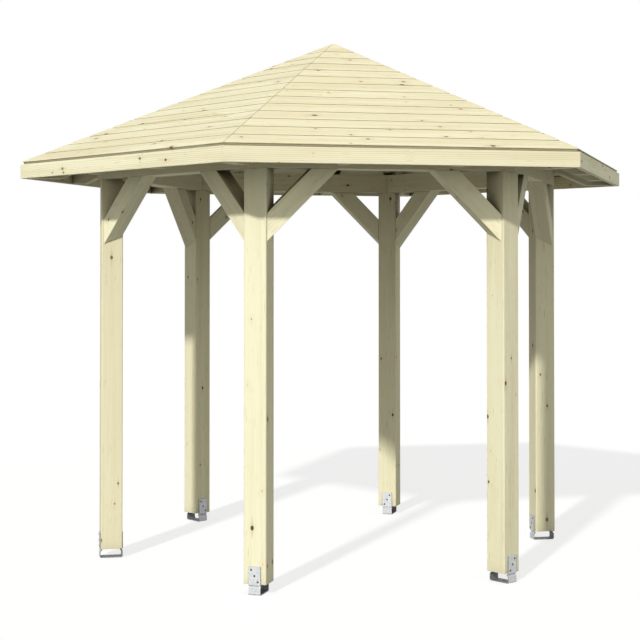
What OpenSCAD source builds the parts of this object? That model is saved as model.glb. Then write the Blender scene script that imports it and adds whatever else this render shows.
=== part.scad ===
// Six-sided open garden gazebo: six posts on steel anchors, a mitred ring beam
// with knee braces, hip and jack rafters, a boarded tent roof and an eaves fascia.
// Millimetres. +Z is up and z = 0 is the ground. The Z axis is the gazebo's centre line.
// Corners lie at 0, 60, 120 ... degrees, so one doorway faces -Y and one faces +Y.

/* [Overall] */
// Width across the flats of the eaves, over the fascia boards
across_flats = 3000; // [2400:10:4200]
// Length of a post, which sets the height of the doorways
post_l = 2000; // [1800:10:2600]
// Pitch of the roof in degrees
roof_pitch = 25; // [15:1:40]

/* [Posts] */
// Side of the square post
post_w = 115; // [90:1:140]
// Distance of each post's axis from the centre line
post_circle_r = 1243; // [900:1:1500]
// Planed bevel along the long edges of the posts
post_bevel = 4; // [1:0.5:8]

/* [Post anchors] */
// Height of the strap below the post, which keeps the timber off the ground
anchor_lift = 52; // [40:1:120]
// Width of the steel strap
anchor_w = 60; // [40:1:80]
// Thickness of the steel strap
anchor_t = 5; // [3:0.5:8]
// Length of each ear of the strap up the face of the post
anchor_ear_l = 87; // [80:1:160]
// How far the crimp below the post reaches in under it, which makes the seat that carries it
anchor_crimp = 10; // [6:1:14]
// Inside radius of the two bends at the foot of the strap
anchor_bend_r = 5; // [3:0.5:8]
// Radius of the screw holes in the ears
ear_hole_r = 4; // [2:0.25:5]
// Height of the middle screw hole above the foot of the post
ear_hole_z = 42; // [38:0.5:44]
// Sideways step between the screw holes of an ear
ear_hole_dx = 16.5; // [12:0.5:18]
// Upright step between the screw holes of an ear
ear_hole_dz = 28.5; // [20:0.5:29]
// Radius of the hole in the foot for the ground bolt
foot_hole_r = 5.5; // [4:0.25:8]

/* [Ring beam] */
// Width of the ring beam on plan
beam_w = 115; // [90:1:120]
// Height of the ring beam
beam_h = 113; // [90:1:160]
// How far the middle of the beam lies outside the line between the post axes
beam_shift = 12; // [0:1:20]

/* [Knee braces] */
// Width of a brace on plan
brace_w = 90; // [60:1:95]
// Depth of a brace, square to its length
brace_d = 96; // [60:1:120]
// Drop of a brace's upper edge below the beam, on the post's side face at its middle
brace_drop = 196; // [120:1:260]

/* [Rafters] */
// Width of a hip rafter
hip_w = 60; // [45:1:80]
// Depth of a hip rafter, square to its length
hip_d = 137; // [120:1:170]
// Depth of a hip rafter's notch, upright over the outer corner of the ring beam,
// which sets the height of the roof above the beam
hip_notch = 35.1317; // [25:0.0001:60]
// Width of a jack rafter
jack_w = 55; // [40:1:70]
// Depth of a jack rafter, square to its length
jack_d = 107; // [90:1:130]
// Distance of each jack rafter from the middle of its side
jack_offset = 280; // [200:1:330]
// Across the flats of the six-sided king block at the apex
king_af = 150; // [120:1:200]
// Length of the king block
king_l = 190; // [170:1:260]

/* [Roof and fascia] */
// Thickness of the roof boards
deck_t = 19; // [15:0.5:30]
// How far the roof's edge stands back from the face of the fascia
deck_setback = 8; // [4:1:19]
// Width of the small flat at the apex
apex_flat = 30; // [10:1:60]
// Thickness of the fascia boards
fascia_t = 28; // [24:1:36]
// Height of the fascia boards
fascia_h = 75; // [60:1:110]

/* [Hidden] */
SIDES = 6;
TURN = 360 / SIDES;
HALF = TURN / 2;
BRACE_ANGLE = 45;
FAR = 4 * across_flats;
// How far a cutting shape reaches past what it cuts
OVER = 1;
$fn = 48;

// Heights
post_foot_z = anchor_lift;
post_top_z = post_foot_z + post_l;

// Distances from the centre line to the faces of a side
fascia_out = across_flats / 2;
fascia_in = fascia_out - fascia_t;
chord_a = post_circle_r * cos(HALF);
beam_mid = chord_a + beam_shift;
beam_out = beam_mid + beam_w / 2;
beam_in = beam_mid - beam_w / 2;

// Roof planes: the notched hip rafters seat on the ring beam and carry the roof
// boards, whose lower edge rests on the fascia's top
deck_top_a = fascia_out - deck_setback;
deck_edge_a = deck_top_a - deck_t * sin(roof_pitch);
rise = tan(roof_pitch);
hip_rise = rise * cos(HALF);
hip_plumb = hip_d / cos(atan(hip_rise));
hip_drop = rise * hip_w / 2 * sin(HALF);
hip_seat_z = post_top_z + beam_h - hip_notch;
under_apex_z = hip_seat_z + hip_plumb + hip_drop + beam_out / cos(HALF) * hip_rise;
apex_z = under_apex_z + deck_t / cos(roof_pitch);
fascia_top_z = under_apex_z - deck_edge_a * rise;
fascia_foot_z = fascia_top_z - fascia_h;

// Knee braces: outer face flush with the ring beam, ends bevelled to the post's side
brace_out = beam_out;
brace_in = brace_out - brace_w;
half_side = chord_a * tan(HALF);

// Corner n and side n, counted anticlockwise from the left-hand corner.
// Inside both, +X points outwards.
module at_corner(n) {
    rotate([0, 0, 180 + TURN * n]) children();
}
module at_side(n) {
    rotate([0, 0, 180 + HALF + TURN * n]) children();
}

// A square with its four corners bevelled
module bevelled_square(side, bevel) {
    h = side / 2;
    b = h - bevel;
    polygon([[h, -b], [h, b], [b, h], [-b, h], [-h, b], [-h, -b], [-b, -h], [b, -h]]);
}

// The part of a side between two distances from the centre line, mitred at the corners
module mitred_bar(a_in, a_out, z_low, height) {
    m = tan(HALF);
    translate([0, 0, z_low])
        linear_extrude(height = height)
            polygon([[a_in, -a_in * m], [a_out, -a_out * m], [a_out, a_out * m], [a_in, a_in * m]]);
}

// An upright outline in the plane of X and Z, given a width along Y
module upright(width) {
    rotate([90, 0, 0])
        translate([0, 0, -width / 2])
            linear_extrude(height = width)
                children();
}

// An upright slab with its two lower corners rounded
module round_footed(half, low, high, r) {
    translate([-half, low + r]) square([2 * half, high - low - r]);
    translate([r - half, low]) square([2 * (half - r), r]);
    for (side = [-1, 1])
        translate([side * (half - r), low + r]) circle(r = r);
}

// The strap bent to a U that holds the post between its ears
module strap_outline() {
    h = post_w / 2;
    t = anchor_t;
    top = post_foot_z + anchor_ear_l;
    difference() {
        round_footed(h + t, 0, top, anchor_bend_r + t);
        round_footed(h, t, top + OVER, anchor_bend_r);
    }
}

// The crimp below the post: a ridge inside each leg, which makes the seat, and a
// groove outside it. The outlines are those of the leg where X is positive.
module crimp_ridge() {
    h = post_w / 2;
    mid = h + anchor_t / 2;
    z = post_foot_z;
    d = anchor_crimp;
    polygon([[mid, z], [h, z], [h - d, z - d], [h, z - 2 * d], [mid, z - 2 * d]]);
}
module crimp_groove() {
    over = post_w / 2 + anchor_t + OVER;
    deep = post_w / 2 - anchor_crimp + anchor_t * sqrt(2);
    z = post_foot_z - anchor_crimp;
    polygon([[over, z + over - deep], [deep, z], [over, z + deep - over]]);
}

// Steel anchor. The screw holes slant the other way on two of the anchors.
module post_anchor(n) {
    reach = post_w + 4 * anchor_t;
    hand = n % 3 == 2 ? -1 : 1;
    middle_z = post_foot_z + ear_hole_z;
    color("silver")
        at_corner(n)
            translate([post_circle_r, 0, 0])
                difference() {
                    union() {
                        upright(anchor_w) strap_outline();
                        for (turn = [0, 180])
                            rotate([0, 0, turn]) upright(anchor_w) crimp_ridge();
                    }
                    for (turn = [0, 180])
                        rotate([0, 0, turn]) upright(anchor_w + 2 * OVER) crimp_groove();
                    for (i = [-1, 0, 1])
                        translate([-reach / 2, i * hand * ear_hole_dx, middle_z - i * ear_hole_dz])
                            rotate([0, 90, 0])
                                cylinder(r = ear_hole_r, h = reach);
                    translate([0, 0, -OVER])
                        cylinder(r = foot_hole_r, h = anchor_t + 2 * OVER);
                }
}

module post(n) {
    color("palegoldenrod")
        at_corner(n)
            translate([post_circle_r, 0, post_foot_z])
                linear_extrude(height = post_l)
                    bevelled_square(post_w, post_bevel);
}

module ring_beam(n) {
    color("khaki")
        at_side(n)
            mitred_bar(beam_in, beam_out, post_top_z, beam_h);
}

// One brace of a side, at the end where Y is positive. The brace lies in the plane of
// the ring beam, and its foot is cut to the side face of the post.
module one_brace() {
    // Distance along Y from the post's axis to the middle of its side face
    face_y = post_w / 2 * cos(HALF);
    run = brace_drop / tan(BRACE_ANGLE);
    depth_y = brace_d / sin(BRACE_ANGLE);
    foot_y = half_side - face_y;
    top_z = post_top_z;
    difference() {
        translate([(brace_in + brace_out) / 2, 0, 0])
            rotate([0, 0, 90])
                upright(brace_w)
                    polygon([
                        [foot_y - run, top_z],
                        [foot_y - run - depth_y, top_z],
                        [foot_y + post_w, top_z - (run + depth_y + post_w) * tan(BRACE_ANGLE)],
                        [foot_y + post_w, top_z - (run + post_w) * tan(BRACE_ANGLE)]
                    ]);
        // Everything beyond the post's side face
        translate([chord_a, half_side, 0])
            rotate([0, 0, HALF])
                translate([-FAR / 2, -post_w / 2, 0])
                    cube([FAR, FAR, FAR]);
    }
}

module knee_braces(n) {
    color("wheat")
        at_side(n) {
            one_brace();
            mirror([0, 1, 0]) one_brace();
        }
}

// Side view of a rafter whose top lies under the roof boards. Its tail is cut level
// with the foot of the fascia.
module rafter_outline(top_z, slope, depth, a_low, a_high) {
    plumb = depth / cos(atan(slope));
    level_a = (top_z - plumb - fascia_foot_z) / slope;
    tail_a = min(level_a, a_high);
    polygon([
        [a_low, top_z - a_low * slope],
        [a_low, top_z - a_low * slope - plumb],
        [tail_a, max(top_z - tail_a * slope - plumb, fascia_foot_z)],
        [a_high, fascia_foot_z],
        [a_high, top_z - a_high * slope]
    ]);
}

// Hip rafter of corner n, notched over the ring beam and cut off behind the fascia
module hip_rafter(n) {
    color("burlywood")
        difference() {
            intersection() {
                at_corner(n)
                    upright(hip_w)
                        rafter_outline(under_apex_z - hip_drop, hip_rise, hip_d, king_af / 2,
                                       fascia_out / cos(HALF));
                cylinder(r = fascia_in / cos(HALF), h = FAR, $fn = SIDES);
            }
            at_side(n)
                mitred_bar(beam_in, beam_out, post_top_z - OVER, beam_h + OVER);
            at_side(n - 1)
                mitred_bar(beam_in, beam_out, post_top_z - OVER, beam_h + OVER);
        }
}

// One jack rafter on the side where Y is positive, cut off against the hip rafter
module one_jack() {
    y_low = jack_offset - jack_w / 2;
    y_high = jack_offset + jack_w / 2;
    a_low = (hip_w / 2 + y_low * cos(HALF)) / sin(HALF);
    a_high = (hip_w / 2 + y_high * cos(HALF)) / sin(HALF);
    difference() {
        intersection() {
            translate([0, jack_offset, 0])
                upright(jack_w)
                    rafter_outline(under_apex_z, rise, jack_d, 0, fascia_in);
            linear_extrude(height = FAR)
                polygon([[a_low, y_low], [fascia_in, y_low], [fascia_in, y_high], [a_high, y_high]]);
        }
        mitred_bar(beam_in, beam_out, post_top_z - OVER, beam_h + OVER);
    }
}

module jack_rafters(first) {
    color("tan")
        for (n = [first : first + SIDES / 2 - 1])
            at_side(n) {
                one_jack();
                mirror([0, 1, 0]) one_jack();
            }
}

// Six-sided block that the hip rafters meet, with a flat under each of them
module king_block() {
    r = king_af / 2 / cos(HALF);
    top = under_apex_z - r * rise;
    color("sandybrown")
        rotate([0, 0, HALF])
            translate([0, 0, top - king_l])
                cylinder(r = r, h = king_l, $fn = SIDES);
}

module fascia(n) {
    color("beige")
        at_side(n)
            mitred_bar(fascia_in, fascia_out, fascia_foot_z, fascia_h);
}

// One face of the roof: a sloping slab with a square-cut lower edge, mitred at the hips
module roof_deck(n) {
    m = tan(HALF);
    edge_z = apex_z - deck_top_a * rise;
    flat_z = apex_z - apex_flat / 2 * rise;
    color("moccasin")
        at_side(n)
            intersection() {
                upright(FAR)
                    polygon([
                        [0, flat_z],
                        [0, under_apex_z],
                        [deck_edge_a, edge_z - deck_t * cos(roof_pitch)],
                        [deck_top_a, edge_z],
                        [apex_flat / 2, flat_z]
                    ]);
                linear_extrude(height = FAR)
                    polygon([[0, 0], [fascia_out, -fascia_out * m], [fascia_out, fascia_out * m]]);
            }
}

post_anchor(0);  // post_anchor_left
post_anchor(1);  // post_anchor_front_left
post_anchor(2);  // post_anchor_front_right
post_anchor(3);  // post_anchor_right
post_anchor(4);  // post_anchor_back_right
post_anchor(5);  // post_anchor_back_left
post(0);  // post_left
post(1);  // post_front_left
post(2);  // post_front_right
post(3);  // post_right
post(4);  // post_back_right
post(5);  // post_back_left
ring_beam(0);  // ring_beam_front_left
ring_beam(1);  // ring_beam_front
ring_beam(2);  // ring_beam_front_right
ring_beam(3);  // ring_beam_back_right
ring_beam(4);  // ring_beam_back
ring_beam(5);  // ring_beam_back_left
knee_braces(0);  // knee_braces_front_left
knee_braces(1);  // knee_braces_front
knee_braces(2);  // knee_braces_front_right
knee_braces(3);  // knee_braces_back_right
knee_braces(4);  // knee_braces_back
knee_braces(5);  // knee_braces_back_left
hip_rafter(0);  // hip_rafter_left
hip_rafter(1);  // hip_rafter_front_left
hip_rafter(2);  // hip_rafter_front_right
hip_rafter(3);  // hip_rafter_right
hip_rafter(4);  // hip_rafter_back_right
hip_rafter(5);  // hip_rafter_back_left
jack_rafters(0);  // jack_rafters_front
jack_rafters(3);  // jack_rafters_back
king_block();
fascia(0);  // fascia_front_left
fascia(1);  // fascia_front
fascia(2);  // fascia_front_right
fascia(3);  // fascia_back_right
fascia(4);  // fascia_back
fascia(5);  // fascia_back_left
roof_deck(0);  // roof_deck_front_left
roof_deck(1);  // roof_deck_front
roof_deck(2);  // roof_deck_front_right
roof_deck(3);  // roof_deck_back_right
roof_deck(4);  // roof_deck_back
roof_deck(5);  // roof_deck_back_left
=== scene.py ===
"""Looks of a six-sided garden gazebo in pale spruce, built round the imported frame.

Metres. +Z is up, the ground is z = 0 and the gazebo's centre line is the Z axis.
Corners and sides are counted anticlockwise, seen from above, from the left-hand corner.
"""

from __future__ import annotations

import logging
import math
from dataclasses import dataclass, field
from enum import Enum

import bmesh
import bpy
import numpy as np
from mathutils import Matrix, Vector


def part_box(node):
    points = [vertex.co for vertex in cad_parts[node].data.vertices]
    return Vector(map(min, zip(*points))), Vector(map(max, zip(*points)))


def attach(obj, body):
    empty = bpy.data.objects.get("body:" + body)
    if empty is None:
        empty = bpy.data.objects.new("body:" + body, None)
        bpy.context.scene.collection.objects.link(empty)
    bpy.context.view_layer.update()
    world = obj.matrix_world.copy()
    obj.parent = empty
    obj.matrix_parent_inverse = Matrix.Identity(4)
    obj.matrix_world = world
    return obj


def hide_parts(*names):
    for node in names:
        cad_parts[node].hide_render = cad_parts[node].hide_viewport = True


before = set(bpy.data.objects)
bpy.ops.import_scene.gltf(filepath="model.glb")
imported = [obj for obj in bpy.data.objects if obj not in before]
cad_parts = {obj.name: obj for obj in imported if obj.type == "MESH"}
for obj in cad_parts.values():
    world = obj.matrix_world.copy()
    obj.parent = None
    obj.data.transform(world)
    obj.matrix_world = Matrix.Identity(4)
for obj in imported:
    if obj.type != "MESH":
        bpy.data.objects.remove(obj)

LOG = logging.getLogger("gazebo")

SIDES = 6
HALF = math.pi / SIDES

Colour = tuple[float, float, float]
Socket = bpy.types.NodeSocket
Value = Socket | float | tuple[float, ...]

class Place(Enum):
    """A place round the gazebo, with one of each kind of part."""

    def node(self, part: str) -> str:
        """Name of the CAD node of a part at this place."""
        return f"{part}_{self.name.lower()}"


class Corner(Place):
    """The corners, each with its post."""

    LEFT = 0
    FRONT_LEFT = 1
    FRONT_RIGHT = 2
    RIGHT = 3
    BACK_RIGHT = 4
    BACK_LEFT = 5

    def turn(self) -> float:
        """Angle from +X to the corner, in radians."""
        return math.pi + 2 * HALF * self.value


class Side(Place):
    """The sides between the corners, each with its face of the roof."""

    FRONT_LEFT = 0
    FRONT = 1
    FRONT_RIGHT = 2
    BACK_RIGHT = 3
    BACK = 4
    BACK_LEFT = 5

    def turn(self) -> float:
        """Angle from +X to the middle of the side, in radians."""
        return math.pi + HALF + 2 * HALF * self.value


class Cut(Enum):
    """How a stick was sawn: nearest and furthest the pith lies from its middle."""

    BOXED_HEART = (0.012, 0.045)
    HALF_LOG = (0.045, 0.085)
    SIDE_BOARD = (0.030, 0.120)


# ---------------- materials


def paint(colour: Colour) -> tuple[float, float, float, float]:
    """A colour with its alpha."""
    return (*colour, 1.0)


class Bench:
    """Lays out the nodes of one material, or of the world."""

    def __init__(self, owner: bpy.types.Material | bpy.types.World) -> None:
        """Starts from an empty node tree.

        Args:
            owner: The material or the world.
        """
        owner.use_nodes = True
        self.owner = owner
        self.tree = owner.node_tree
        self.tree.nodes.clear()

    def node(self, kind: str, *values: Value, **settings: object) -> bpy.types.Node:
        """Adds a node.

        Args:
            kind: Blender's type name of the node.
            values: What its first inputs are fed, in order.
            settings: Properties set on the node.

        Returns:
            The new node.
        """
        made = self.tree.nodes.new(kind)
        for key, value in settings.items():
            setattr(made, key, value)
        for socket, value in zip(made.inputs, values):
            self.feed(socket, value)
        return made

    def feed(self, socket: Socket, value: Value) -> None:
        """Links a socket to another, or sets its plain value.

        Args:
            socket: The input that is fed.
            value: An output socket, a number or a tuple.
        """
        if isinstance(value, bpy.types.NodeSocket):
            self.tree.links.new(value, socket)
        else:
            socket.default_value = value

    def number(self, operation: str, *values: Value, clamp: bool = False) -> Socket:
        """One step of arithmetic on numbers, by Blender's name, held between 0 and 1 if clamp is set."""
        return self.node("ShaderNodeMath", *values, operation=operation, use_clamp=clamp).outputs[0]

    def plus(self, first: Value, second: Value, clamp: bool = False) -> Socket:
        """The sum of two numbers, held between 0 and 1 if clamp is set."""
        return self.number("ADD", first, second, clamp=clamp)

    def minus(self, first: Value, second: Value) -> Socket:
        """The first number less the second."""
        return self.number("SUBTRACT", first, second)

    def times(self, first: Value, second: Value, clamp: bool = False) -> Socket:
        """The product of two numbers, held between 0 and 1 if clamp is set."""
        return self.number("MULTIPLY", first, second, clamp=clamp)

    def over(self, first: Value, second: Value) -> Socket:
        """The first number divided by the second."""
        return self.number("DIVIDE", first, second)

    def vector(self, operation: str, *values: Value) -> Socket:
        """One step of arithmetic on vectors, by Blender's name; LENGTH gives a number."""
        made = self.node("ShaderNodeVectorMath", *values, operation=operation)
        return made.outputs["Value" if operation == "LENGTH" else "Vector"]

    def blend(self, factor: Value, first: Value, second: Value) -> Socket:
        """Mixes two colours.

        Args:
            factor: 0 gives the first colour and 1 the second.
            first: The first colour.
            second: The second colour.

        Returns:
            The mixed colour's socket.
        """
        made = self.node("ShaderNodeMix", data_type="RGBA")
        colour_a, colour_b = 6, 7
        self.feed(made.inputs["Factor"], factor)
        self.feed(made.inputs[colour_a], first)
        self.feed(made.inputs[colour_b], second)
        return made.outputs[2]

    def noise(self, place: Value, scale: float, detail: float = 2.0) -> Socket:
        """Soft noise between 0 and 1.

        Args:
            place: Where it is read.
            scale: Features a metre.
            detail: Octaves.

        Returns:
            The noise's socket.
        """
        made = self.node("ShaderNodeTexNoise")
        self.feed(made.inputs["Vector"], place)
        made.inputs["Scale"].default_value = scale
        made.inputs["Detail"].default_value = detail
        return made.outputs["Fac"]

    def drawn_noise(self, place: Socket, features: tuple[float, float, float], detail: float = 2.0) -> Socket:
        """Soft noise between 0 and 1 with its own number of features a metre along each axis."""
        return self.noise(self.vector("MULTIPLY", place, features), 1.0, detail)

    def step(self, value: Value, low: Value, high: Value) -> Socket:
        """Rises smoothly from 0 at low to 1 at high.

        Args:
            value: The number that is tested.
            low: Where the rise starts.
            high: Where it ends.

        Returns:
            The result's socket.
        """
        made = self.node("ShaderNodeMapRange", interpolation_type="SMOOTHSTEP")
        self.feed(made.inputs["Value"], value)
        self.feed(made.inputs["From Min"], low)
        self.feed(made.inputs["From Max"], high)
        return made.outputs["Result"]

    def attribute(self, name: str) -> Socket:
        """Reads one of the mesh's own attributes."""
        return self.node("ShaderNodeAttribute", attribute_name=name).outputs["Vector"]

    def split(self, vector: Socket) -> tuple[Socket, ...]:
        """The three parts of a vector."""
        return tuple(self.node("ShaderNodeSeparateXYZ", vector).outputs)

    def join(self, x: Value, y: Value, z: Value) -> Socket:
        """A vector from its three parts."""
        return self.node("ShaderNodeCombineXYZ", x, y, z).outputs[0]

    def either(self, share: Socket, first: Socket, second: Socket) -> Socket:
        """The first shader where share is 0 and the second where it is 1."""
        return self.node("ShaderNodeMixShader", share, first, second).outputs[0]

    def surface(
        self, colour: Socket, roughness: Socket, height: Socket, depth: float, metallic: float, specular: float
    ) -> bpy.types.Material:
        """Finishes a material with a shader and a bump.

        Args:
            colour: Base colour.
            roughness: Roughness.
            height: Height of the relief, from 0 to 1.
            depth: Depth of the relief in metres.
            metallic: 1 for bare metal.
            specular: Strength of the reflection of a non-metal.

        Returns:
            The material.
        """
        bump = self.node("ShaderNodeBump")
        bump.inputs["Strength"].default_value = 1.0
        bump.inputs["Distance"].default_value = depth
        self.feed(bump.inputs["Height"], height)
        shader = self.node("ShaderNodeBsdfPrincipled")
        self.feed(shader.inputs["Base Color"], colour)
        self.feed(shader.inputs["Roughness"], roughness)
        shader.inputs["Metallic"].default_value = metallic
        shader.inputs["Specular IOR Level"].default_value = specular
        self.feed(shader.inputs["Normal"], bump.outputs[0])
        output = self.node("ShaderNodeOutputMaterial")
        self.feed(output.inputs["Surface"], shader.outputs[0])
        return self.owner


@dataclass(frozen=True)
class Knots:
    """The knots of a finish. All are shares from 0 to 1 but the radius, which is in metres.

    core is the knot itself, rim its dark edge, around the wood that it colours and
    pushes aside, tail the stain drawn out along the grain, present 0 for a knot that is
    left out, and shade a chance value of its own for each knot.
    """

    core: Socket
    rim: Socket
    around: Socket
    tail: Socket
    radius: Socket
    present: Socket
    shade: Socket


@dataclass(frozen=True)
class SpruceFinish:
    """Pale planed spruce, patterned in each stick's own axes, with X along the grain.

    The growth rings are shells round the pith, so they run as lines along a face and
    as arcs across a sawn end. Knots are small ellipsoids scattered through the wood.
    Pitches, widths and reaches are in metres, and strengths are shares of a colour.
    """

    name: str
    early: Colour = (0.760, 0.733, 0.528)
    late: Colour = (0.550, 0.485, 0.283)
    knot: Colour = (0.080, 0.055, 0.022)
    halo: Colour = (0.665, 0.575, 0.365)
    check: Colour = (0.330, 0.270, 0.140)
    # This colour is real grime, and also the painted shade in joints and nooks
    grime_and_shade: Colour = (0.128, 0.106, 0.060)
    ring_pitch: float = 0.0050
    ring_waver: float = 0.030
    ring_push: float = 1.4
    ring_strength: float = 0.16
    streak_width: float = 0.030
    streak_strength: float = 0.50
    fibre_strength: float = 0.16
    patch_strength: float = 0.75
    check_strength: float = 0.45
    sawn_strength: float = 0.22
    warm_strength: float = 0.30
    tone_strength: float = 0.07
    knot_apart: float = 0.17
    knot_across: float = 0.048
    knot_radius: float = 0.0120
    knotless: float = 0.15
    knot_squeeze: float = 0.72
    tail_squeeze: tuple[float, float] = (0.20, 1.5)
    halo_strength: float = 0.42
    tail_strength: float = 0.30
    # Share of grime and painted shade in the open joints between boards
    joint_grime_shade_strength: float = 0.80
    # Reach and strength of the painted shade that darkens wood shut in by other parts
    nook_shade_reach: float = 0.20
    nook_shade_strength: float = 0.92
    rubbed_strength: float = 0.5
    rubbed_gain: float = 1.05
    roughness: float = 0.60
    relief: float = 0.00035
    specular: float = 0.14

    def knots(self, bench: Bench, place: Socket) -> Knots:
        """Scatters the knots, one to a cell of the wood.

        A knot is where the distance to its middle, shortened along the grain, is less
        than its radius, and its tail is shortened more along the grain and less across.

        Args:
            bench: Where the nodes are laid.
            place: Place in the wood.

        Returns:
            The knots.
        """
        cell = (self.knot_apart, self.knot_across, self.knot_across)
        scattered = bench.vector("DIVIDE", place, cell)
        cells = bench.node("ShaderNodeTexVoronoi")
        bench.feed(cells.inputs["Vector"], scattered)
        cells.inputs["Scale"].default_value = 1.0
        cells.inputs["Randomness"].default_value = 0.9
        luck, shade, _ = bench.split(cells.outputs["Color"])
        radius = bench.times(bench.minus(luck, self.knotless), self.knot_radius)
        radius = bench.number("MAXIMUM", radius, 0.0002)
        ragged = bench.times(bench.minus(bench.noise(place, 90.0), 0.5), 0.25)
        offset = bench.vector("SUBTRACT", scattered, cells.outputs["Position"])

        squeezed = (cell[0] * self.knot_squeeze, cell[1], cell[2])
        distance = bench.vector("LENGTH", bench.vector("MULTIPLY", offset, squeezed))
        near = bench.plus(bench.over(distance, radius), ragged)
        core = bench.minus(1.0, bench.step(near, 0.80, 1.10))
        rim = bench.times(bench.step(near, 0.55, 0.95), core)
        around = bench.minus(1.0, bench.step(near, 1.0, 3.4))

        along, across = self.tail_squeeze
        drawn = (cell[0] * along, cell[1] * across, cell[2] * across)
        tail = bench.over(bench.vector("LENGTH", bench.vector("MULTIPLY", offset, drawn)), radius)
        tail = bench.minus(1.0, bench.step(bench.plus(tail, ragged), 0.6, 1.7))
        present = bench.step(luck, self.knotless, self.knotless + 0.1)
        return Knots(core, rim, around, tail, radius, present, shade)

    def rings(self, bench: Bench, grain: Socket, place: Socket, knots: Knots) -> Socket:
        """Dark summer wood of the growth rings.

        The distance from the pith wavers along the stick and is pushed aside by knots.
        Divided by the rings' pitch, it darkens slowly through a ring and clears at once.

        Args:
            bench: Where the nodes are laid.
            grain: Place from the stick's pith.
            place: Place in the wood.
            knots: The knots.

        Returns:
            Its share.
        """
        _, across, deep = bench.split(grain)
        from_pith = bench.number("SQRT", bench.plus(bench.times(across, across), bench.times(deep, deep)))
        waver = bench.times(bench.drawn_noise(place, (0.7, 5.0, 5.0)), self.ring_waver)
        pushed = bench.times(knots.around, bench.times(knots.radius, self.ring_push))
        shell = bench.plus(bench.plus(from_pith, waver), pushed)
        phase = bench.number("FRACT", bench.over(shell, self.ring_pitch))
        rise = bench.step(phase, 0.30, 0.90)
        fall = bench.minus(1.0, bench.step(phase, 0.93, 1.0))
        return bench.times(rise, fall)

    def knotted(self, bench: Bench, wood: Socket, knots: Knots) -> tuple[Socket, Socket]:
        """Adds the halos, the tails and the knots to the wood.

        Args:
            bench: Where the nodes are laid.
            wood: Colour of the clear wood.
            knots: The knots.

        Returns:
            The new colour, and the share that the knots cover.
        """
        halo = bench.times(bench.times(knots.around, knots.present), self.halo_strength)
        wood = bench.blend(halo, wood, paint(self.halo))
        stain = bench.times(bench.times(knots.tail, knots.present), self.tail_strength)
        wood = bench.blend(stain, wood, paint(self.check))
        dark = bench.plus(0.72, bench.times(knots.shade, 0.28))
        dark = bench.plus(dark, bench.times(knots.rim, 0.15))
        covered = bench.times(bench.times(knots.core, knots.present), dark, clamp=True)
        return bench.blend(covered, wood, paint(self.knot)), covered

    def build(self) -> bpy.types.Material:
        """Makes the material.

        Returns:
            The material.
        """
        bench = Bench(bpy.data.materials.new(self.name))
        grain = bench.attribute("grain")
        seed, tone, warmth = bench.split(bench.attribute("stick"))
        arris, sawn_end, joint = bench.split(bench.attribute("wear_and_shade"))
        shift = bench.join(bench.times(seed, 7.3), bench.times(seed, 3.1), bench.times(seed, 5.7))
        place = bench.vector("ADD", grain, shift)
        knots = self.knots(bench, place)
        ring = self.rings(bench, grain, place, knots)

        # Streaks, fine fibres, slow patches and drying checks, all drawn out lengthwise
        width = 1.0 / self.streak_width
        streak = bench.drawn_noise(place, (0.9, width, width), 3.0)
        fibre = bench.drawn_noise(place, (14.0, 900.0, 900.0))
        patch = bench.drawn_noise(place, (1.1, 7.0, 7.0))
        check = bench.step(bench.drawn_noise(place, (11.0, 210.0, 210.0), 1.0), 0.66, 0.76)

        darker = bench.times(bench.minus(streak, 0.42), self.streak_strength * 2.0)
        darker = bench.plus(darker, bench.times(ring, self.ring_strength))
        darker = bench.plus(darker, bench.times(bench.minus(fibre, 0.5), self.fibre_strength))
        darker = bench.plus(darker, bench.times(bench.minus(patch, 0.5), self.patch_strength))
        darker = bench.plus(darker, bench.times(sawn_end, self.sawn_strength), clamp=True)
        wood = bench.blend(darker, paint(self.early), paint(self.late))
        wood = bench.blend(bench.times(warmth, self.warm_strength), wood, paint(self.halo))
        wood = bench.blend(bench.times(check, self.check_strength), wood, paint(self.check))

        # Tone from stick to stick, then the knots
        level = bench.minus(1.0, bench.times(tone, self.tone_strength))
        wood = bench.vector("MULTIPLY", wood, bench.join(level, level, level))
        wood, covered = self.knotted(bench, wood, knots)

        # Grime and painted shade in open joints, painted shade in nooks, and arrises rubbed pale
        # Grime and painted shade: faces inside open joints are blended towards the dark grime colour
        wood = bench.blend(bench.times(joint, self.joint_grime_shade_strength), wood, paint(self.grime_and_shade))
        # Painted shade: where the occlusion node finds the wood shut in, it is blended towards the dark grime colour
        nook = bench.node("ShaderNodeAmbientOcclusion", samples=8)
        nook.inputs["Distance"].default_value = self.nook_shade_reach
        nook_shade = bench.minus(1.0, bench.step(nook.outputs["AO"], 0.20, 0.80))
        wood = bench.blend(bench.times(nook_shade, self.nook_shade_strength), wood, paint(self.grime_and_shade))
        rubbed = bench.times(arris, bench.times(bench.noise(place, 25.0, 3.0), self.rubbed_strength))
        pale = tuple(min(1.0, part * self.rubbed_gain) for part in self.early)
        wood = bench.blend(rubbed, wood, paint(pale))

        roughness = bench.plus(self.roughness, bench.times(streak, 0.16))
        roughness = bench.minus(roughness, bench.times(covered, 0.18))
        height = bench.plus(bench.times(fibre, 0.5), bench.times(streak, 0.4))
        height = bench.minus(height, bench.times(ring, 0.3))
        height = bench.minus(height, bench.times(knots.rim, 0.8))
        return bench.surface(wood, roughness, height, self.relief, 0.0, self.specular)


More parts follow.
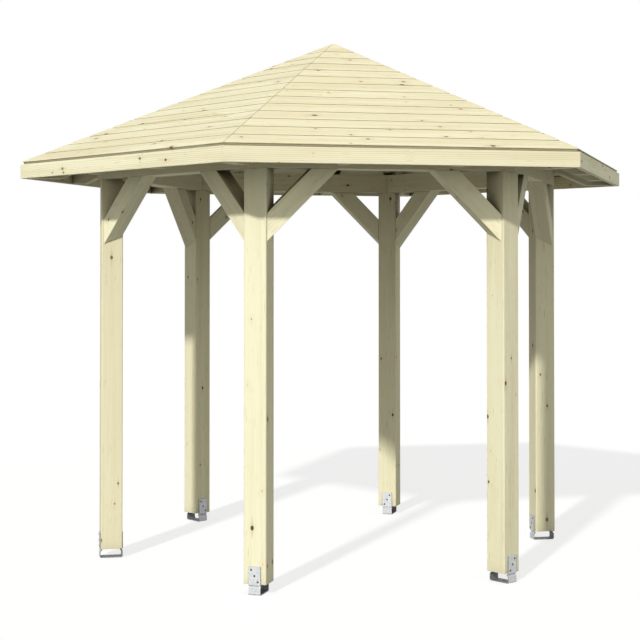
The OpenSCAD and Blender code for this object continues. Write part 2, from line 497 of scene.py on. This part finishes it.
@dataclass(frozen=True)
class ZincFinish:
    """Hot-dip galvanised steel: a crystal spangle, dull patches, scratches, and cut edges and inner faces darkened
    near black as painted shade, only partly the colour of bare cut steel.
    """

    name: str
    bright: Colour = (0.640, 0.655, 0.670)
    dull: Colour = (0.410, 0.425, 0.440)
    # Near-black colour of sheared edges and inner faces: mostly painted shade, partly bare cut steel
    sheared_edge_shade: Colour = (0.018, 0.019, 0.020)
    spangle: float = 140.0
    roughness: float = 0.42
    metallic: float = 0.35
    specular: float = 0.4
    relief: float = 0.00025

    def build(self) -> bpy.types.Material:
        """Makes the material.

        Returns:
            The material.
        """
        bench = Bench(bpy.data.materials.new(self.name))
        place = bench.node("ShaderNodeTexCoord").outputs["Object"]
        crystals = bench.node("ShaderNodeTexVoronoi")
        bench.feed(crystals.inputs["Vector"], place)
        crystals.inputs["Scale"].default_value = self.spangle
        facet, _, _ = bench.split(crystals.outputs["Color"])
        patch = bench.noise(place, 22.0, 4.0)
        worn = bench.plus(bench.times(facet, 0.45), bench.times(patch, 0.55))
        colour = bench.blend(worn, paint(self.bright), paint(self.dull))
        # Painted shade: the marked share blends the zinc towards the near-black edge colour
        edge_and_shade, _, _ = bench.split(bench.attribute("wear_and_shade"))
        colour = bench.blend(edge_and_shade, colour, paint(self.sheared_edge_shade))
        scratches = bench.drawn_noise(place, (900.0, 900.0, 25.0))
        roughness = bench.plus(self.roughness, bench.times(worn, 0.25))
        height = bench.plus(bench.times(patch, 0.7), bench.times(scratches, 0.3))
        return bench.surface(colour, roughness, height, self.relief, self.metallic, self.specular)


# ---------------- meshes


def welded(node: str) -> bmesh.types.BMesh:
    """A merged copy of a CAD node, with the triangles of each flat face joined.

    Args:
        node: The node's name.

    Returns:
        The copy.
    """
    shape = bmesh.new()
    shape.from_mesh(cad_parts[node].data)
    bmesh.ops.remove_doubles(shape, verts=shape.verts, dist=2e-5)
    bmesh.ops.dissolve_limit(
        shape, angle_limit=math.radians(0.5), verts=shape.verts, edges=shape.edges, use_dissolve_boundaries=False
    )
    return shape


def ease_arrises(shape: bmesh.types.BMesh, width: float, sharpness: float) -> None:
    """Rounds the sharp edges of a shape and marks the new faces in a face layer "arris".

    Args:
        shape: The shape that is changed.
        width: Width of the rounding in metres.
        sharpness: Only edges that turn more than this many degrees are rounded.
    """
    layer = shape.faces.layers.float.new("arris")
    edges = [e for e in shape.edges if e.is_manifold and e.calc_face_angle(0.0) > math.radians(sharpness)]
    made = bmesh.ops.bevel(
        shape, geom=edges, offset=width, offset_type="OFFSET", segments=2, profile=0.5, affect="EDGES",
        clamp_overlap=True,
    )
    for face in made["faces"]:
        face[layer] = 1.0


def turned(points: np.ndarray, angle: float) -> np.ndarray:
    """Points turned about the Z axis.

    The new x is x cos(angle) - y sin(angle), and the new y is x sin(angle) + y cos(angle).

    Args:
        points: Array whose last axis is x, y, z.
        angle: The turn in radians.

    Returns:
        The turned points, in an array of the same shape.
    """
    x = points[..., 0] * math.cos(angle) - points[..., 1] * math.sin(angle)
    y = points[..., 0] * math.sin(angle) + points[..., 1] * math.cos(angle)
    return np.stack([x, y, points[..., 2]], axis=-1)


def shape_from(points: np.ndarray, faces: list[list[int]]) -> bmesh.types.BMesh:
    """A shape from its vertices and faces.

    Args:
        points: Array whose last axis is x, y, z.
        faces: The vertices of each face.

    Returns:
        The shape.
    """
    mesh = bpy.data.meshes.new("shape")
    mesh.from_pydata(points.reshape(-1, 3).tolist(), [], faces)
    shape = bmesh.new()
    shape.from_mesh(mesh)
    bpy.data.meshes.remove(mesh)
    return shape


def piece_from(shape: bmesh.types.BMesh, name: str, material: bpy.types.Material) -> bpy.types.Object:
    """Turns a shape into a piece that rides on the root body.

    Args:
        shape: The shape, which is freed.
        name: The piece's name.
        material: Its material.

    Returns:
        The piece.
    """
    mesh = bpy.data.meshes.new(name)
    shape.to_mesh(mesh)
    shape.free()
    piece = bpy.data.objects.new(name, mesh)
    bpy.context.scene.collection.objects.link(piece)
    mesh.materials.append(material)
    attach(piece, "root")
    return piece


def read(items: bpy.types.bpy_prop_collection, key: str, width: int, kind: type = np.float32) -> np.ndarray:
    """Copies one property of a mesh's vertices, edges or faces into an array.

    Args:
        items: The collection that is read.
        key: The property.
        width: Numbers in each item.
        kind: Type of number.

    Returns:
        The array, one row an item.
    """
    flat = np.empty(len(items) * width, dtype=kind)
    items.foreach_get(key, flat)
    return flat.reshape(-1, width) if width > 1 else flat


def write(mesh: bpy.types.Mesh, name: str, domain: str, values: np.ndarray) -> None:
    """Stores an array of vectors as an attribute of a mesh, one row a vertex (POINT) or a face (FACE)."""
    kept = mesh.attributes.new(name, "FLOAT_VECTOR", domain)
    kept.data.foreach_set("vector", values.astype(np.float32).ravel())


def islands(count: int, edges: np.ndarray) -> np.ndarray:
    """Numbers the separate solids of a mesh.

    Each vertex takes the lowest number among its neighbours, over and over, until
    nothing changes.

    Args:
        count: How many vertices there are.
        edges: Pairs of vertices.

    Returns:
        One label a vertex.
    """
    label = np.arange(count)
    while True:
        lowest = label.copy()
        np.minimum.at(lowest, edges[:, 0], label[edges[:, 1]])
        np.minimum.at(lowest, edges[:, 1], label[edges[:, 0]])
        lowest = lowest[lowest]
        if np.array_equal(lowest, label):
            return label
        label = lowest


def lay_grain(mesh: bpy.types.Mesh, cut: Cut, rng: np.random.Generator, along: Vector | None = None) -> int:
    """Gives every stick of a mesh its own axes for the grain, and its own seed and tone.

    The grain runs along the longest edge. The second axis is square to the stick's
    largest side, and the third is square to both. The pith lies to one side of the
    stick's middle. "grain" is a vertex's place in those axes, "stick" holds seed, tone
    and warmth, and the face attribute tells arrises, sawn ends and open joints; the open joints are painted with grime
    and shade.

    Args:
        mesh: The mesh.
        cut: How the sticks were sawn.
        rng: Source of chance.
        along: Direction of the grain, or None for the longest edge.

    Returns:
        How many sticks there are.
    """
    points = read(mesh.vertices, "co", 3).astype(np.float64)
    edges = read(mesh.edges, "vertices", 2, np.int32)
    normals = read(mesh.polygons, "normal", 3).astype(np.float64)
    areas = read(mesh.polygons, "area", 1)
    starts = read(mesh.polygons, "loop_start", 1, np.int32)
    corners = read(mesh.loops, "vertex_index", 1, np.int32)
    label = islands(len(points), edges)
    face_label = label[corners[starts]]
    spans = points[edges[:, 1]] - points[edges[:, 0]]
    lengths = np.linalg.norm(spans, axis=1)
    grain = np.zeros_like(points)
    stick = np.zeros_like(points)
    sawn = np.zeros(len(areas))
    sticks = np.unique(label)
    for one in sticks:
        mine = label == one
        faces = face_label == one
        longest = int(np.argmax(np.where(mine[edges[:, 0]], lengths, 0.0)))
        u = np.array(along, dtype=np.float64) if along is not None else spans[longest] / lengths[longest]
        u = u / np.linalg.norm(u)
        lengthwise = np.abs(normals @ u)
        widest = int(np.argmax(np.where(faces & (lengthwise < 0.3), areas, 0.0)))
        v = normals[widest] - u * (normals[widest] @ u)
        v /= np.linalg.norm(v)
        w = np.cross(u, v)
        middle = (points[mine].min(axis=0) + points[mine].max(axis=0)) / 2
        pith = rng.uniform(*cut.value)
        swing = rng.uniform(0.0, 2.0 * math.pi)
        local = (points[mine] - middle) @ np.stack([u, v, w], axis=1)
        grain[mine] = local + np.array([0.0, pith * math.cos(swing), pith * math.sin(swing)])
        stick[mine] = (rng.uniform(0.0, 10.0), rng.uniform(-1.0, 1.0), rng.uniform(0.0, 1.0))
        sawn[faces] = (lengthwise[faces] > 0.45).astype(np.float64)
    write(mesh, "grain", "POINT", grain)
    write(mesh, "stick", "POINT", stick)
    arris, joint = (
        read(mesh.attributes[name].data, "value", 1) if name in mesh.attributes else np.zeros(len(areas))
        for name in ("arris", "joint")
    )
    write(mesh, "wear_and_shade", "FACE", np.stack([arris, sawn, joint], axis=1))
    return len(sticks)


# ---------------- sub-assemblies


@dataclass
class Timberwork:
    """Sticks whose shape is the CAD's, with their arrises eased and grain of their own."""

    finish: bpy.types.Material
    arris: float = 0.0015
    sharp_from: float = 20.0
    cut: Cut = Cut.BOXED_HEART
    nodes: list[str] = field(default_factory=list)
    seed: int = 1

    def build(self) -> None:
        """Makes one piece for each CAD node and lets it stand for the node."""
        rng = np.random.default_rng(self.seed)
        for node in self.nodes:
            shape = welded(node)
            ease_arrises(shape, self.arris, self.sharp_from)
            piece = piece_from(shape, f"planed_{node}", self.finish)
            count = lay_grain(piece.data, self.cut, rng)
            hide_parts(node)
            LOG.info("%s: %d sticks, %d faces", piece.name, count, len(piece.data.polygons))


@dataclass
class Posts(Timberwork):
    """The six posts, whose long bevels are the CAD's own."""

    arris: float = 0.0010
    nodes: list[str] = field(default_factory=lambda: [c.node("post") for c in Corner])
    seed: int = 18113


@dataclass
class RingBeam(Timberwork):
    """The mitred beam on the posts."""

    arris: float = 0.0025
    cut: Cut = Cut.HALF_LOG
    nodes: list[str] = field(default_factory=lambda: [s.node("ring_beam") for s in Side])
    seed: int = 23


@dataclass
class KneeBraces(Timberwork):
    """Two braces to a side, between the posts and the beam."""

    arris: float = 0.0025
    cut: Cut = Cut.HALF_LOG
    nodes: list[str] = field(default_factory=lambda: [s.node("knee_braces") for s in Side])
    seed: int = 37


@dataclass
class Rafters(Timberwork):
    """Hip rafters, jack rafters and the block where the hips meet."""

    arris: float = 0.0020
    cut: Cut = Cut.HALF_LOG
    nodes: list[str] = field(
        default_factory=lambda: [c.node("hip_rafter") for c in Corner]
        + ["jack_rafters_front", "jack_rafters_back", "king_block"]
    )
    seed: int = 41


@dataclass
class Fascia(Timberwork):
    """The boards round the eaves, mitred at the corners."""

    cut: Cut = Cut.SIDE_BOARD
    nodes: list[str] = field(default_factory=lambda: [s.node("fascia") for s in Side])
    seed: int = 53


@dataclass
class RoofBoards:
    """Tongued and grooved boards laid level on each face of the roof.

    A board is an outline across it, carried from one hip to the other. A point of the
    outline lies s down the slope and h below the upper face, so it stands
    s cos(pitch) - h sin(pitch) out from the centre line, at a height of
    apex - s sin(pitch) - h cos(pitch), and each hip is that distance out times
    tan(30 degrees) to its side.
    """

    finish: bpy.types.Material
    pitch: float = math.radians(25.0)
    thickness: float = 0.019
    apex_flat: float = 0.030
    first_joint: float = 0.1555
    cover: float = 0.1148
    courses: int = 14
    gap: float = 0.0065
    undercut: float = 0.0060
    tongue_reach: float = 0.0055
    tongue_top: float = 0.0070
    tongue_foot: float = 0.0130
    tongue_play: float = 0.0003
    groove_top: float = 0.0066
    eaves_groove: float = 0.0030
    eaves_groove_top: float = 0.0048
    eaves_groove_foot: float = 0.0140
    eaves_edge: float = 0.0002
    upper_run: tuple[float, float] = (0.0150, 0.0400)
    upper_fall: tuple[float, float] = (0.0016, 0.0007)
    lower_run: tuple[float, float] = (0.0180, 0.0065)
    lower_fall: tuple[float, float] = (0.0005, 0.0019)
    chamfer: float = 0.0025
    hip_gap: float = 0.0012
    eaves_dirt_and_shade: float = 0.12
    seed: int = 67

    def outlines(self, slope: float) -> np.ndarray:
        """Outlines of all the boards, in the plane of s and h.

        From the upper edge and round with the clock: the tongue, the shoulder that
        leaves a gap below the board above, the face, which falls a little over a short
        run at either edge, the lip that is cut back under itself, the groove for the next
        tongue, and the chamfers of the underside. The topmost board has no tongue, and
        the lowest has a shallow groove along its edge, which rests on the fascia.

        Args:
            slope: Length of the slope from the sharp apex to the lower edge.

        Returns:
            Array of boards by eighteen points by s and h.
        """
        up = np.concatenate([[0.0], self.first_joint + self.cover * np.arange(self.courses - 1)])
        low = np.append(up[1:], slope)
        lowest = np.arange(self.courses) == self.courses - 1
        back = np.where(lowest, 0.0, self.undercut)
        deep = np.where(lowest, self.eaves_groove, self.undercut)
        end = np.where(lowest, self.eaves_edge, self.chamfer)
        top = np.where(lowest, self.eaves_groove_top, self.groove_top)
        foot = np.where(lowest, self.eaves_groove_foot, self.tongue_foot + self.tongue_play)
        under = self.thickness
        outline = [
            (up - self.tongue_reach, self.tongue_foot),
            (up - self.tongue_reach, self.tongue_top),
            (up + self.gap, self.tongue_top),
            (up + self.gap, self.upper_fall[0]),
            (up + self.upper_run[0], self.upper_fall[1]),
            (up + self.upper_run[1], 0.0),
            (low - self.lower_run[0], 0.0),
            (low - self.lower_run[1], self.lower_fall[0]),
            (low, self.lower_fall[1]),
            (low - back, top),
            (low - deep, top),
            (low - deep, foot),
            (low, foot),
            (low, under - end),
            (low - end, under),
            (up + self.chamfer, under),
            (up, under - self.chamfer),
            (up, self.tongue_foot),
        ]
        return np.stack([np.stack(np.broadcast_arrays(s, h), axis=1) for s, h in outline], axis=1)

    def face(self, side: Side, apex_z: float, slope: float) -> bmesh.types.BMesh:
        """The boards of one face of the roof.

        Args:
            side: Which face.
            apex_z: Height of the sharp apex.
            slope: Length of the slope.

        Returns:
            The shape, one closed solid a board, with its open joints in a face layer "joint".
        """
        outline = self.outlines(slope)
        s, h = outline[:, :, 0], outline[:, :, 1]
        out = s * math.cos(self.pitch) - h * math.sin(self.pitch)
        z = apex_z - s * math.sin(self.pitch) - h * math.cos(self.pitch)

        # The topmost board's upper edge runs up the centre line to the small flat of the apex
        flat_out = self.apex_flat / 2
        flat_z = apex_z - flat_out * math.tan(self.pitch)
        under_z = apex_z - self.thickness / math.cos(self.pitch)
        centre = [15, 16, 17, 0, 1, 2, 3]
        out[0, centre] = 0.0
        z[0, centre] = np.linspace(under_z, flat_z, len(centre))
        out[0, 4], z[0, 4] = flat_out, flat_z

        reach = np.maximum(out * math.tan(HALF) - self.hip_gap, 0.0)
        ends = np.stack([np.stack([out, -reach, z], axis=2), np.stack([out, reach, z], axis=2)], axis=1)
        corners = outline.shape[1]
        here = np.arange(corners)
        after = (here + 1) % corners
        walls = np.stack([here, after, after + corners, here + corners], axis=1)
        caps = [list(range(corners - 1, -1, -1)), list(range(corners, 2 * corners))]
        faces = [
            [int(i) + 2 * corners * board for i in wall]
            for board in range(self.courses)
            for wall in [*walls.tolist(), *caps]
        ]
        shape = shape_from(turned(ends, side.turn()), faces)

        # The walls in a joint are the tongue, the lip, the groove and both ends at the hips
        inside = {0, 1, 2, 8, 9, 10, 11, 17, corners, corners + 1}
        joint = shape.faces.layers.float.new("joint")
        for number, face in enumerate(shape.faces):
            board, wall = divmod(number, corners + 2)
            at_eaves = board == self.courses - 1 and 7 < wall < 13
            # Grime and painted shade: joint walls take the full share, the eaves groove a faint one
            face[joint] = self.eaves_dirt_and_shade if at_eaves else float(wall in inside)
        bmesh.ops.remove_doubles(shape, verts=shape.verts, dist=1e-6)
        bmesh.ops.recalc_face_normals(shape, faces=shape.faces)
        return shape

    def build(self) -> None:
        """Lays the boards of all six faces."""
        rng = np.random.default_rng(self.seed)
        low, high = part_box("roof_deck_front")
        edge_out = -low[1]
        apex_z = high[2] + self.apex_flat / 2 * math.tan(self.pitch)
        slope = edge_out / math.cos(self.pitch)
        for side in Side:
            shape = self.face(side, apex_z, slope)
            node = side.node("roof_deck")
            piece = piece_from(shape, f"boards_{node}", self.finish)
            along = Vector((-math.sin(side.turn()), math.cos(side.turn()), 0.0))
            count = lay_grain(piece.data, Cut.SIDE_BOARD, rng, along)
            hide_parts(node)
            LOG.info("%s: %d boards", piece.name, count)


@dataclass
class Anchors:
    """Steel straps that carry the posts, each with three screws in either ear."""

    finish: bpy.types.Material
    # The screws' finish is near black: painted shade of the holes they sit in
    screw_shade_finish: bpy.types.Material
    arris: float = 0.0006
    sharp_from: float = 40.0
    post_w: float = 0.115
    strap_t: float = 0.005
    post_circle_r: float = 1.243
    post_foot_z: float = 0.052
    middle_z: float = 0.042
    step_y: float = 0.0165
    step_z: float = 0.0285
    head_r: float = 0.0052
    head_h: float = 0.0024
    shank_r: float = 0.0033
    shank_l: float = 0.012
    flat_area: float = 0.0002
    crease: float = math.radians(32.0)
    screw_crease: float = math.radians(35.0)
    # Shares of painted shade: on sheared edges at the foot and up the legs, and on the inner faces
    foot_edge_shade: float = 1.0
    leg_edge_shade: float = 0.50
    inside_shade: float = 0.65

    def screw(self, around: int = 16) -> tuple[np.ndarray, list[list[int]]]:
        """One pan-head screw along +X, its head's seat at x = 0.

        An outline of distance along X against radius is turned about the X axis. It
        runs up the shank, out under the head, over the crown and down into the drive,
        a round recess.

        Args:
            around: Faces round the screw.

        Returns:
            Vertices and faces.
        """
        r, h, shank = self.head_r, self.head_h, self.shank_r
        outline = np.array(
            [
                (-self.shank_l, shank * 0.9),
                (-self.shank_l + 0.0002, shank),
                (0.0, shank),
                (0.0, r),
                (h * 0.35, r),
                (h * 0.75, r * 0.86),
                (h * 0.97, r * 0.55),
                (h, r * 0.42),
                (h * 0.45, r * 0.34),
            ]
        )
        angle = np.arange(around) * 2.0 * math.pi / around
        distance, radius = outline[:, 0, None], outline[:, 1, None]
        rings = np.stack(np.broadcast_arrays(distance, radius * np.cos(angle), radius * np.sin(angle)), axis=2)
        points = np.vstack([rings.reshape(-1, 3), [[h * 0.42, 0.0, 0.0]]])
        last = len(outline) - 1
        here = np.arange(around)
        after = (here + 1) % around
        bands = np.arange(last)[:, None] * around
        walls = np.stack([bands + here, bands + after, bands + around + after, bands + around + here], axis=2)
        tip = np.full(around, len(points) - 1)
        floor = np.stack([last * around + here, last * around + after, tip], axis=1)
        faces = walls.reshape(-1, 4).tolist() + floor.tolist() + [list(range(around - 1, -1, -1))]
        return points, faces

    def seats(self, corner: Corner) -> np.ndarray:
        """Where the six screws of one anchor sit, and which way they point.

        The three of an ear stand in a slanting row, which leans the other way at the
        front right and the back left corner.

        Args:
            corner: The anchor's corner.

        Returns:
            Array of x, y, z and direction in the corner's own axes, X outwards.
        """
        hand = -1.0 if corner in (Corner.FRONT_RIGHT, Corner.BACK_LEFT) else 1.0
        step = np.array([-1.0, 0.0, 1.0])
        face = self.post_w / 2 + self.strap_t
        rows = [
            np.stack(
                [
                    np.full(3, self.post_circle_r + way * face),
                    step * hand * self.step_y,
                    self.post_foot_z + self.middle_z - step * self.step_z,
                    np.full(3, way),
                ],
                axis=1,
            )
            for way in (-1.0, 1.0)
        ]
        return np.vstack(rows)

    def paint_edge_shade(self, mesh: bpy.types.Mesh, corner: Corner) -> None:
        """Paints shade on the strap: its sheared edges near black, darkest at the foot, and in part its inner faces
        and the foot's top darker, where the post and legs shade them.

        Args:
            mesh: The strap's mesh.
            corner: Its corner.
        """
        outwards = np.array([math.cos(corner.turn()), math.sin(corner.turn()), 0.0])
        sideways = np.array([-outwards[1], outwards[0], 0.0])
        normals = read(mesh.polygons, "normal", 3)
        middles = read(mesh.polygons, "center", 3)
        # Painted shade: sheared edges, faces turned inwards and the foot's top are marked dark where the post and legs
        # shade them; dull below holds these shares
        sheared_edge_shade = np.abs(normals @ sideways) > 0.6
        facing_in = (normals @ outwards) * (middles @ outwards - self.post_circle_r) < -0.02
        foot_top = (normals[:, 2] > 0.5) & (middles[:, 2] < 2.0 * self.strap_t)
        at_foot = middles[:, 2] < 3.0 * self.strap_t
        edge_shade = np.where(at_foot, self.foot_edge_shade, self.leg_edge_shade)
        dull = np.where(sheared_edge_shade, edge_shade, np.where(facing_in | foot_top, self.inside_shade, 0.0))
        blank = np.zeros(len(dull))
        write(mesh, "wear_and_shade", "FACE", np.stack([dull, blank, blank], axis=1))

    def strap(self, corner: Corner) -> bpy.types.Object:
        """Makes one corner's strap and lets it stand for the CAD's.

        Args:
            corner: Its corner.

        Returns:
            The strap.
        """
        node = corner.node("post_anchor")
        shape = welded(node)
        ease_arrises(shape, self.arris, self.sharp_from)
        strap = piece_from(shape, f"strap_{node}", self.finish)
        self.paint_edge_shade(strap.data, corner)
        strap.data.set_sharp_from_angle(angle=self.crease)
        small = read(strap.data.polygons, "area", 1) < self.flat_area
        strap.data.polygons.foreach_set("use_smooth", small)
        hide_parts(node)
        return strap

    def screws(self, corner: Corner) -> bpy.types.Object:
        """Makes the screws of one corner's strap.

        Args:
            corner: Its corner.

        Returns:
            The screws, as one piece.
        """
        points, faces = self.screw()
        seats = self.seats(corner)
        placed = np.repeat(points[None, :, :], len(seats), axis=0)
        placed[..., :2] *= seats[:, 3, None, None]
        placed += seats[:, None, :3]
        every = [[i + len(points) * k for i in face] for k in range(len(seats)) for face in faces]
        shape = shape_from(turned(placed, corner.turn()), every)
        bmesh.ops.recalc_face_normals(shape, faces=shape.faces)
        piece = piece_from(shape, f"screws_{corner.node('post_anchor')}", self.screw_shade_finish)
        piece.data.shade_smooth()
        piece.data.set_sharp_from_angle(angle=self.screw_crease)
        return piece

    def build(self) -> None:
        """Makes the straps and their screws."""
        for corner in Corner:
            strap, screws = self.strap(corner), self.screws(corner)
            LOG.info("%s and %s", strap.name, screws.name)


@dataclass
class Studio:
    """Pale floor, white surround, a low sun from the front left, a soft fill, and the camera."""

    eye: tuple[float, float, float] = (-1.9215, -8.2266, 1.567)
    heading: tuple[float, float] = (0.2188, 0.9758)
    pitch: float = math.radians(0.968)
    lens: float = 84.26
    sensor: float = 36.0
    shift_y: float = -0.12
    sun_azimuth: float = math.radians(34.0)
    sun_elevation: float = math.radians(30.0)
    sun_strength: float = 3.20
    sun_angle: float = math.radians(2.5)
    sun_tint: Colour = (1.0, 0.987, 0.96)
    fill_from: tuple[float, float, float] = (0.1, -0.98, 0.17)
    fill_strength: float = 0.46
    fill_angle: float = math.radians(70.0)
    fill_tint: Colour = (0.98, 1.0, 0.98)
    lamp_distance: float = 8.0
    sky_tint: Colour = (0.965, 0.985, 0.945)
    horizon_strength: float = 0.99
    zenith_strength: float = 0.10
    floor_half: float = 60.0
    floor_tone: float = 0.30
    floor_glow: float = 0.735

    def backdrop_share(self, bench: Bench) -> Socket:
        """1 for rays that see the background, straight or in gloss or glass.

        Args:
            bench: Where the nodes are laid.

        Returns:
            The share's socket.
        """
        path = bench.node("ShaderNodeLightPath").outputs
        straight_or_gloss = bench.number("MAXIMUM", path["Is Camera Ray"], path["Is Glossy Ray"])
        return bench.number("MAXIMUM", straight_or_gloss, path["Is Transmission Ray"])

    def build_world(self) -> None:
        """White where it is seen; as a light it is soft, and dimmer overhead than at the horizon."""
        bench = Bench(bpy.data.worlds.new("studio"))
        _, _, height = bench.split(bench.node("ShaderNodeTexCoord").outputs["Generated"])
        fade = bench.node("ShaderNodeMapRange")
        fade.inputs["To Min"].default_value = self.horizon_strength
        fade.inputs["To Max"].default_value = self.zenith_strength
        bench.feed(fade.inputs["Value"], height)
        soft = bench.node("ShaderNodeBackground")
        soft.inputs["Color"].default_value = paint(self.sky_tint)
        bench.feed(soft.inputs["Strength"], fade.outputs["Result"])
        seen = bench.node("ShaderNodeBackground")
        seen.inputs["Color"].default_value = paint((1.0, 1.0, 1.0))
        seen.inputs["Strength"].default_value = 1.0
        sky = bench.either(self.backdrop_share(bench), soft.outputs[0], seen.outputs[0])
        output = bench.node("ShaderNodeOutputWorld")
        bench.feed(output.inputs["Surface"], sky)
        bpy.context.scene.world = bench.owner

    def build_floor(self) -> None:
        """A wide pale floor that keeps the shadow and is clear from beneath."""
        bench = Bench(bpy.data.materials.new("pale_floor"))
        plain = bench.node("ShaderNodeBsdfDiffuse")
        plain.inputs["Color"].default_value = paint((self.floor_tone,) * 3)
        glow = bench.node("ShaderNodeEmission")
        glow.inputs["Strength"].default_value = self.floor_glow
        glowing = bench.node("ShaderNodeAddShader", plain.outputs[0], glow.outputs[0])
        upper = bench.either(self.backdrop_share(bench), plain.outputs[0], glowing.outputs[0])
        clear = bench.node("ShaderNodeBsdfTransparent")
        beneath = bench.node("ShaderNodeNewGeometry").outputs["Backfacing"]
        output = bench.node("ShaderNodeOutputMaterial")
        bench.feed(output.inputs["Surface"], bench.either(beneath, upper, clear.outputs[0]))

        half = self.floor_half
        mesh = bpy.data.meshes.new("floor")
        mesh.from_pydata(
            [(-half, -half, 0.0), (half, -half, 0.0), (half, half, 0.0), (-half, half, 0.0)], [], [(0, 1, 2, 3)]
        )
        mesh.materials.append(bench.owner)
        floor = bpy.data.objects.new("floor", mesh)
        bpy.context.scene.collection.objects.link(floor)

    def hang_lamp(self, name: str, strength: float, spread: float, tint: Colour, towards: Vector) -> None:
        """Adds a far-off lamp.

        Args:
            name: The lamp's name.
            strength: Its strength.
            spread: Angle that it fills in the sky, which sets how soft its shadows are.
            tint: Its colour.
            towards: Direction from the gazebo to the lamp.
        """
        lamp = bpy.data.lights.new(name, "SUN")
        lamp.energy = strength
        lamp.angle = spread
        lamp.color = tint
        holder = bpy.data.objects.new(name, lamp)
        bpy.context.scene.collection.objects.link(holder)
        holder.rotation_mode = "QUATERNION"
        holder.rotation_quaternion = (-towards).to_track_quat("-Z", "Y")
        holder.location = towards * self.lamp_distance

    def build_lamps(self) -> None:
        """A low sun from the front left and a wide weak fill from the front."""
        flat = math.cos(self.sun_elevation)
        sun = Vector(
            (-math.sin(self.sun_azimuth) * flat, -math.cos(self.sun_azimuth) * flat, math.sin(self.sun_elevation))
        )
        self.hang_lamp("sun", self.sun_strength, self.sun_angle, self.sun_tint, sun)
        self.hang_lamp("fill", self.fill_strength, self.fill_angle, self.fill_tint, Vector(self.fill_from))

    def build_camera(self) -> None:
        """A level, slightly long lens from the front, left of the middle."""
        data = bpy.data.cameras.new("camera")
        data.sensor_width = self.sensor
        data.lens = self.lens
        data.shift_y = self.shift_y
        data.clip_start = 0.1
        data.clip_end = 300.0
        camera = bpy.data.objects.new("camera", data)
        bpy.context.scene.collection.objects.link(camera)
        level = math.cos(self.pitch)
        ahead = Vector((self.heading[0] * level, self.heading[1] * level, math.sin(self.pitch)))
        camera.location = self.eye
        camera.rotation_mode = "QUATERNION"
        camera.rotation_quaternion = ahead.to_track_quat("-Z", "Y")
        bpy.context.scene.camera = camera

    def build(self) -> None:
        """Sets up the whole studio."""
        self.build_world()
        self.build_floor()
        self.build_lamps()
        self.build_camera()
        bpy.context.scene.view_settings.view_transform = "Standard"


def main() -> None:
    """Builds the gazebo's pieces in order."""
    logging.basicConfig(level=logging.INFO, format="%(name)s %(message)s")
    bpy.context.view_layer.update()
    Studio().build()

    planed = SpruceFinish("planed_spruce").build()
    posts = SpruceFinish("post_spruce", early=(0.688, 0.660, 0.470), tone_strength=0.02).build()
    eaves = SpruceFinish(
        "fascia_spruce", early=(0.797, 0.768, 0.560), ring_pitch=0.0085, ring_strength=0.55, patch_strength=0.90
    ).build()
    boards = SpruceFinish(
        "spruce_boards", early=(0.750, 0.730, 0.556), ring_pitch=0.0075, ring_strength=0.75, streak_strength=0.70,
        patch_strength=1.00, knot_radius=0.0125, knot_apart=0.20, knot_across=0.050, tone_strength=0.10,
    ).build()
    zinc = ZincFinish("galvanised_steel").build()
    # Near-black screw heads, far darker than zinc, are painted shade for the dark holes in the ears
    screw_hole_shade = ZincFinish("screws_painted_dark", bright=(0.10, 0.102, 0.105), dull=(0.04, 0.041, 0.043), spangle=600.0).build()

    Posts(posts).build()
    RingBeam(planed).build()
    KneeBraces(planed).build()
    Rafters(planed).build()
    Fascia(eaves).build()
    RoofBoards(boards).build()
    Anchors(zinc, screw_hole_shade).build()


if __name__ == "__main__":
    main()
